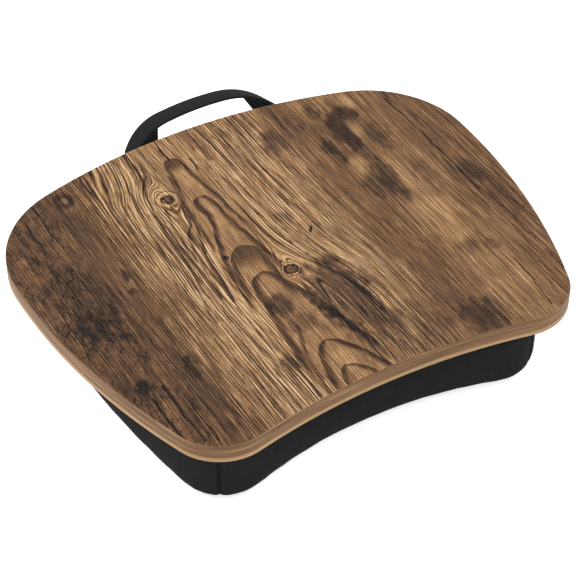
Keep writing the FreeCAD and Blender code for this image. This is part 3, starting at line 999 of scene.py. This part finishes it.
def outward(loop):
    """Unit normals of a closed loop, away from its middle."""
    ahead = np.roll(loop, -1, axis=0) - np.roll(loop, 1, axis=0)
    normal = np.column_stack([ahead[:, 1], -ahead[:, 0]])
    normal /= np.linalg.norm(normal, axis=1)[:, None]
    area = np.sum(loop[:, 0] * np.roll(loop[:, 1], -1) - np.roll(loop[:, 0], -1) * loop[:, 1])
    return normal if area > 0 else -normal


def wall_inset(height):
    """How far the cushion's wall stands in from its top outline, at a height in mm."""
    if height > ROLL_HEIGHT:
        return WALL_DRAW * math.sin(math.pi / 2 * min(1.0, (CUSHION_TOP - height) / ROLL_HEIGHT))
    lift = (ROLL_HEIGHT - height) / ROLL_HEIGHT
    return WALL_DRAW + ROLL_INSET * (1 - math.sqrt(max(0.0, 1 - lift**2)))


def cushion_start(material):
    """Closed form of the cushion before it swells."""
    loop = even_loop(rim_loop("cover_bottom"), RIM_STEP)
    normal = outward(loop)
    loop = loop + normal * RIM_INSET
    vertices = []
    for height in RING_HEIGHTS:
        ring = loop - normal * (wall_inset(height) + CUSHION_SLACK)
        vertices += [(x, y, height) for x, y in ring]
    count = len(loop)
    faces = ring_faces(len(RING_HEIGHTS), count)
    faces.append(tuple(range(count))[::-1])
    faces.append(tuple(range(len(vertices) - count, len(vertices))))
    return new_piece("cushion", vertices, faces, material)


def swell(piece):
    """Cloth simulation: pressure fills the cover while its top stays fastened and its base on the floor."""
    remesh = piece.modifiers.new("remesh", "REMESH")
    remesh.mode = "VOXEL"
    remesh.voxel_size = CUSHION_VOXEL * MM
    settle(piece)
    start = np.array([vertex.co for vertex in piece.data.vertices])
    pins = piece.vertex_groups.new(name="pins")
    heights = start[:, 2] / MM
    held = np.where((heights > CUSHION_TOP - SIM_TOP) | (heights < SIM_BASE))[0]
    pins.add(held.tolist(), 1.0, "ADD")
    cloth = piece.modifiers.new("cloth", "CLOTH")
    cloth.settings.vertex_group_mass = "pins"
    cloth.settings.use_pressure = True
    cloth.settings.uniform_pressure_force = SIM_PRESSURE
    cloth.settings.effector_weights.gravity = 0.0
    cloth.point_cache.frame_end = SIM_FRAMES
    for step in range(1, SIM_FRAMES + 1):
        bpy.context.scene.frame_set(step)
    settle(piece)
    bpy.context.scene.frame_set(1)
    moved = np.array([vertex.co for vertex in piece.data.vertices]) - start
    length = np.linalg.norm(moved, axis=1)
    share = CUSHION_CAP * MM / np.maximum(length, CUSHION_CAP * MM)
    places = start + moved * share[:, None]
    places[:, 2] = np.clip(places[:, 2], 0.0, (CUSHION_TOP - CUSHION_GAP) * MM)
    for vertex, place in zip(piece.data.vertices, places):
        vertex.co = place
    piece.vertex_groups.clear()
    subdivision = piece.modifiers.new("subdivision", "SUBSURF")
    subdivision.levels = 1
    subdivision.render_levels = 1
    settle(piece)


def seam_plane(side):
    """A point on a corner seam in mm, and its outward direction; side is 1 at the right, -1 at the left."""
    node = "right_seam_allowance" if side > 0 else "left_seam_allowance"
    low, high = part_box(node)
    turn = math.radians(SEAM_TURN)
    away = Vector((side * math.cos(turn), -math.sin(turn), 0.0))
    return (low + high) / 2 / MM + Vector((-away.y, away.x, 0.0)) * side * SEAM_SHIFT, away


def press_seam(piece, side):
    """Finer mesh along a corner seam, and the groove that its stitches pull in."""
    centre, away = seam_plane(side)
    across = Vector((-away.y, away.x, 0.0))

    def offset(point):
        toward = point / MM - centre
        return toward.dot(across) if toward.dot(away) > 0 else math.inf

    mesh = bmesh.new()
    mesh.from_mesh(piece.data)
    for reach in (SEAM_REACH, SEAM_REACH / 2):
        near = [edge for edge in mesh.edges if all(abs(offset(vertex.co)) < reach for vertex in edge.verts)]
        bmesh.ops.subdivide_edges(mesh, edges=near, cuts=1, use_grid_fill=True)
    for vertex in mesh.verts:
        distance = offset(vertex.co)
        low = vertex.co.z < (CUSHION_TOP - SEAM_FREE_TOP) * MM
        if low and abs(distance) < SEAM_SPREAD * SEAM_REACH:
            groove = SEAM_DEPTH * math.exp(-((distance / SEAM_WIDTH) ** 2))
            pull = SEAM_PULL * math.exp(-((distance / SEAM_REACH) ** 2))
            fade = min(1.0, vertex.co.z / MM / ROLL_HEIGHT)
            vertex.co -= away * (groove + pull) * fade * MM
    mesh.to_mesh(piece.data)
    mesh.free()


def seam_thread_and_shade(piece, side, material):
    """Dark thread that lies in a corner seam; the dark cord also serves as painted shade along the seam's
    groove.
    """
    centre, away = seam_plane(side)
    depsgraph = bpy.context.evaluated_depsgraph_get()
    shape = piece.evaluated_get(depsgraph)
    points = []
    for height in np.linspace(SEAM_BOTTOM, CUSHION_TOP - SEAM_TOP_GAP, THREAD_STATIONS):
        source = Vector((centre.x, centre.y, height)) + away * THREAD_SEARCH
        hit, place, _, _ = shape.ray_cast(source * MM, -away)
        if hit:
            points.append(place / MM + away * THREAD_PROUD)
    vertices = []
    across = Vector((-away.y, away.x, 0.0))
    for point in points:
        for angle in np.linspace(0.0, 2 * math.pi, THREAD_SIDES, endpoint=False):
            vertices.append(point + (across * math.cos(angle) + away * math.sin(angle)) * THREAD_RADIUS)
    faces = ring_faces(len(points), THREAD_SIDES)
    thread = new_piece("right_seam" if side > 0 else "left_seam", vertices, faces, material)
    smooth(thread)
    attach(thread, "desk")


def dent_for_tabs(piece):
    """Presses the cushion's top down where the handle's tabs lie on it."""
    for node in ("handle_left_tab", "handle_right_tab"):
        low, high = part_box(node)
        for vertex in piece.data.vertices:
            point = vertex.co
            aside = max(low.x - point.x, point.x - high.x, low.y - point.y, 0.0) / MM
            share = max(0.0, 1.0 - aside / TAB_MARGIN)
            limit = (CUSHION_TOP - TAB_DENT * share) * MM
            if share > 0 and point.z > limit:
                vertex.co.z = limit


def ripple(piece):
    """Faint unevenness of the stuffed cloth, none at the floor."""
    mesh = piece.data
    normals = [vertex.normal.copy() for vertex in mesh.vertices]
    places = [vertex.co.copy() for vertex in mesh.vertices]
    moved = []
    for place, normal in zip(places, normals):
        wave = fractal(place * RIPPLE_WAVES, *RIPPLE_NOISE)
        fade = min(1.0, place.z / MM / ROLL_HEIGHT)
        moved.extend(place + normal * wave * CLOTH_RIPPLE * fade * MM)
    mesh.vertices.foreach_set("co", moved)
    mesh.update()


def build_cushion(cloth, thread):
    """Stuffed cushion under the board, with its two corner seams."""
    cushion = cushion_start(cloth)
    swell(cushion)
    ripple(cushion)
    for side in (-1, 1):
        press_seam(cushion, side)
    dent_for_tabs(cushion)
    smooth(cushion)
    # Dark threads in the seams, which also serve as painted shade along the grooves
    for side in (-1, 1):
        seam_thread_and_shade(cushion, side, thread)
    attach(cushion, "desk")
    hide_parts("cover_top", "cover_front_wall", "cover_side_wall", "cover_bottom")
    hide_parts("foam_pad", "left_seam_allowance", "right_seam_allowance")


def arch_side(side, count):
    """Outer line of half the arch, from the crest to the foot: places in mm and outward directions."""
    span, radius, turn = SHOULDERS[side]
    start_turn = math.asin(span / STRAP_TOP_RADIUS)
    end_turn = math.radians(turn)
    crest = BOARD_HIGH.z + HANDLE_RISE
    top = Vector((HINGE.x, 0.0, crest - STRAP_TOP_RADIUS))

    def away(angle):
        return Vector((side * math.sin(angle), 0.0, math.cos(angle)))

    shoulder = top + away(start_turn) * (STRAP_TOP_RADIUS - radius)
    line = []
    for angle in np.linspace(0, start_turn, count):
        line.append((top + away(angle) * STRAP_TOP_RADIUS, away(angle)))
    for angle in np.linspace(start_turn, end_turn, count)[1:]:
        line.append((shoulder + away(angle) * radius, away(angle)))
    end, normal = line[-1]
    leg = (end.z - BOARD_LOW.z) / math.sin(end_turn)
    along = Vector((side * math.cos(end_turn), 0.0, -math.sin(end_turn)))
    for share in np.linspace(0, 1, count // 2)[1:]:
        line.append((end + along * leg * share, normal))
    return line


def arch_line():
    """Outer line of the whole arch, from the left foot to the right one."""
    return arch_side(-1, ARCH_STATIONS)[::-1] + arch_side(1, ARCH_STATIONS)[1:]


def leaned(point):
    """Point of the upright arch, with Y counted from the hinge, turned back to the lean of the handle."""
    lean = math.radians(HANDLE_LEAN)
    height = point.z - HINGE.z
    y = point.y * math.cos(lean) + height * math.sin(lean)
    z = height * math.cos(lean) - point.y * math.sin(lean)
    return Vector((point.x, HINGE.y + y, HINGE.z + z))


def strap_section():
    """Cross-section of the strap: places across it, and depths below its outer face, in mm."""
    half = STRAP_THICKNESS / 2
    section = []
    for angle in np.linspace(0.0, 2 * math.pi, STRAP_SIDES, endpoint=False):
        cosine = math.cos(angle)
        sine = math.sin(angle)
        across = math.copysign(abs(cosine) ** STRAP_RIM_POWERS[0], cosine) * STRAP_HALF_WIDTH
        depth = math.copysign(abs(sine) ** STRAP_RIM_POWERS[1], sine) * half
        crown = STRAP_CROWN * (across / STRAP_HALF_WIDTH) ** 2
        section.append((across, half - depth + crown))
    return section


def foot_limit(side, distance):
    """How far the strap reaches to the rear from its middle line, at a distance in mm from a foot."""
    corner = FOOT_CORNERS[side]
    short = max(0.0, corner - distance)
    return STRAP_HALF_WIDTH - corner + math.sqrt(corner**2 - short**2)


def build_strap(cloth):
    """Fabric strap of the handle, with rounded edges and a slightly crowned face."""
    line = arch_line()
    section = strap_section()
    front = HINGE.y - ROOT_THICKNESS / 2
    middle = front + STRAP_HALF_WIDTH - HINGE.y
    vertices = []
    for place, away in line:
        limit = min(foot_limit(side, (place - line[end][0]).length) for side, end in ((-1, 0), (1, -1)))
        for across, depth in section:
            point = place - away * depth + Vector((0.0, middle + min(across, limit), 0.0))
            point.z = max(point.z, BOARD_LOW.z)
            vertices.append(leaned(point))
    count = len(section)
    faces = [(first, *reversed(rest)) for first, *rest in ring_faces(len(line), count)]
    faces.append(tuple(range(count)))
    faces.append(tuple(range(len(vertices) - count, len(vertices)))[::-1])
    strap = new_piece("handle_strap", vertices, faces, cloth)
    smooth(strap)
    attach(strap, "handle")
    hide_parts("handle_sleeve", "handle_webbing")


def thick_sheet(name, rows, thickness, material):
    """Sheet through rows of points in mm, with thickness and rounded rims."""
    vertices = [point for row in rows for point in row]
    count = len(rows[0])
    faces = []
    for row in range(len(rows) - 1):
        for index in range(count - 1):
            low, high = row * count, (row + 1) * count
            faces.append((low + index, low + index + 1, high + index + 1, high + index))
    sheet = new_piece(name, vertices, faces, material)
    solid = sheet.modifiers.new("thickness", "SOLIDIFY")
    solid.thickness = thickness * MM
    solid.offset = 0.0
    bevel = sheet.modifiers.new("rim", "BEVEL")
    bevel.width = thickness * SHEET_RIM_SHARE * MM
    bevel.segments = SHEET_RIM_PARTS
    bevel.limit_method = "ANGLE"
    settle(sheet)
    smooth(sheet)
    return sheet


def build_root(side, cloth):
    """End of the strap, folded down from the arch to the fold line under the board's edge."""
    outer = HINGE.x + side * ROOT_OUTER_PLACE
    inner = HINGE.x + side * ROOT_INNER_PLACE
    seat = STRAP_THICKNESS * ROOT_SEAT_SHARE
    under = [place - away * seat for place, away in arch_side(side, ROOT_STATIONS)][::-1]
    meeting = []
    for point in under:
        rise = max(0.0, point.z - HINGE.z) / ROOT_RISE
        edge = inner - side * ROOT_LEANS[side] * rise**ROOT_CURVE
        if side * (point.x - edge) < 0:
            break
        meeting.append(point)
    rows = []
    for column in range(ROOT_COLUMNS + 1):
        share = column / ROOT_COLUMNS
        top = meeting[int(share * (len(meeting) - 1))]
        foot = Vector((outer + (inner - outer) * share, 0.0, HINGE.z - ROOT_DROP))
        rows.append([leaned(foot.lerp(top, rise)) for rise in np.linspace(0, 1, ROOT_ROWS)])
    name = "handle_right_fold" if side > 0 else "handle_left_fold"
    fold = thick_sheet(name, rows, ROOT_THICKNESS, cloth)
    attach(fold, "handle")
    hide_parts("handle_right_root" if side > 0 else "handle_left_root")


def build_turn(side, cloth):
    """Fold that turns the strap's foot in to the fold line under the board's edge."""
    foot, away = arch_side(side, ROOT_STATIONS)[-1]
    foot = foot - away * STRAP_THICKNESS / 2
    front = -ROOT_THICKNESS / 2
    outer = HINGE.x + side * ROOT_OUTER_PLACE
    inner = HINGE.x + side * ROOT_INNER_PLACE
    rows = []
    for share in np.linspace(0, 1, TURN_POINTS):
        reach = (2 * STRAP_HALF_WIDTH - FOOT_CORNERS[side]) * share
        start = Vector((foot.x, front + reach, BOARD_LOW.z + TURN_THICKNESS / 2))
        end = Vector((outer + (inner - outer) * share, 0.0, HINGE.z + TURN_LIFT))
        rows.append([leaned(start.lerp(end, part)) for part in np.linspace(0, 1, TURN_POINTS)])
    name = "handle_right_turn" if side > 0 else "handle_left_turn"
    turn = thick_sheet(name, rows, TURN_THICKNESS, cloth)
    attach(turn, "handle")


def build_tab(side, cloth):
    """End of the strap that is clamped under the board."""
    node = "handle_right_tab" if side > 0 else "handle_left_tab"
    low, high = (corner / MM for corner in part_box(node))
    height = (low.z + high.z) / 2
    rows = []
    for x in np.linspace(low.x, high.x, TAB_POINTS[0]):
        rows.append([Vector((x, y, height)) for y in np.linspace(low.y, high.y, TAB_POINTS[1])])
    tab = thick_sheet(node + "_strap", rows, high.z - low.z, cloth)
    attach(tab, "desk")
    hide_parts(node)


def build_stage():
    """Pale floor, soft studio light and the photograph's camera."""
    scene = bpy.context.scene
    scene.view_settings.view_transform = "Standard"
    bpy.ops.mesh.primitive_plane_add(size=FLOOR_SIZE, location=(0, 0, -FLOOR_DROP))
    floor = bpy.context.object
    floor.name = "floor"
    material, graph, shader = new_material("floor_white", FLOOR_ROUGHNESS, 0.0)
    shader.inputs["Base Color"].default_value = (FLOOR_SHADE, FLOOR_SHADE, FLOOR_SHADE, 1)
    shader.inputs["Emission Color"].default_value = (1, 1, 1, 1)
    path = graph.tree.nodes.new("ShaderNodeLightPath")
    seen = graph.math("ADD", path.outputs["Is Camera Ray"], path.outputs["Is Glossy Ray"])
    seen = graph.math("ADD", seen, path.outputs["Is Transmission Ray"], clamp=True)
    graph.tree.links.new(graph.times(seen, FLOOR_GLOW), shader.inputs["Emission Strength"])
    floor.data.materials.append(material)
    world = bpy.data.worlds.new("studio")
    scene.world = world
    world.use_nodes = True
    graph = Graph(world.node_tree)
    background = next(n for n in world.node_tree.nodes if n.type == "BACKGROUND")
    background.inputs["Color"].default_value = (1, 1, 1, 1)
    path = graph.tree.nodes.new("ShaderNodeLightPath")
    seen = graph.math("ADD", path.outputs["Is Camera Ray"], path.outputs["Is Glossy Ray"], clamp=True)
    graph.tree.links.new(graph.mix(seen, WORLD_LIGHT, 1.0), background.inputs["Strength"])
    for place, size, energy in LAMPS:
        data = bpy.data.lights.new("softbox", "AREA")
        data.shape = "SQUARE"
        data.size = size
        data.energy = energy
        lamp = bpy.data.objects.new("softbox", data)
        scene.collection.objects.link(lamp)
        lamp.location = place
        lamp.rotation_euler = (-Vector(place)).to_track_quat("-Z", "Y").to_euler()
    camera_data = bpy.data.cameras.new("camera")
    camera_data.sensor_width = SENSOR_MM
    camera_data.lens = CAMERA_LENS_MM
    camera = bpy.data.objects.new("camera", camera_data)
    scene.collection.objects.link(camera)
    camera.location = Vector(CAMERA_OVER_TOP) + Vector((0.0, 0.0, BOARD_HIGH.z * MM))
    camera.rotation_euler = Vector(CAMERA_BACK).to_track_quat("Z", "Y").to_euler()
    scene.camera = camera


def dress():
    """Builds the soft pieces and gives every piece its finish."""
    finishes = {name: twill(name, *values) for name, values in CLOTHS.items()}
    finishes.update({name: plain_material(name, *values) for name, values in FINISHES.items()})
    strap = finishes["strap_cloth"]
    build_cushion(finishes["cover_cloth"], finishes["seam_thread_and_shade"])
    build_strap(strap)
    for side in (-1, 1):
        build_root(side, strap)
        build_turn(side, strap)
        build_tab(side, strap)
    for finish, nodes in PAINTED.items():
        for node in nodes:
            paint(node, finishes[finish])
    tree = wood_group()
    paint("top_laminate", wood_print(tree))
    paint("edge_band", band_wood(tree))


build_stage()
dress()
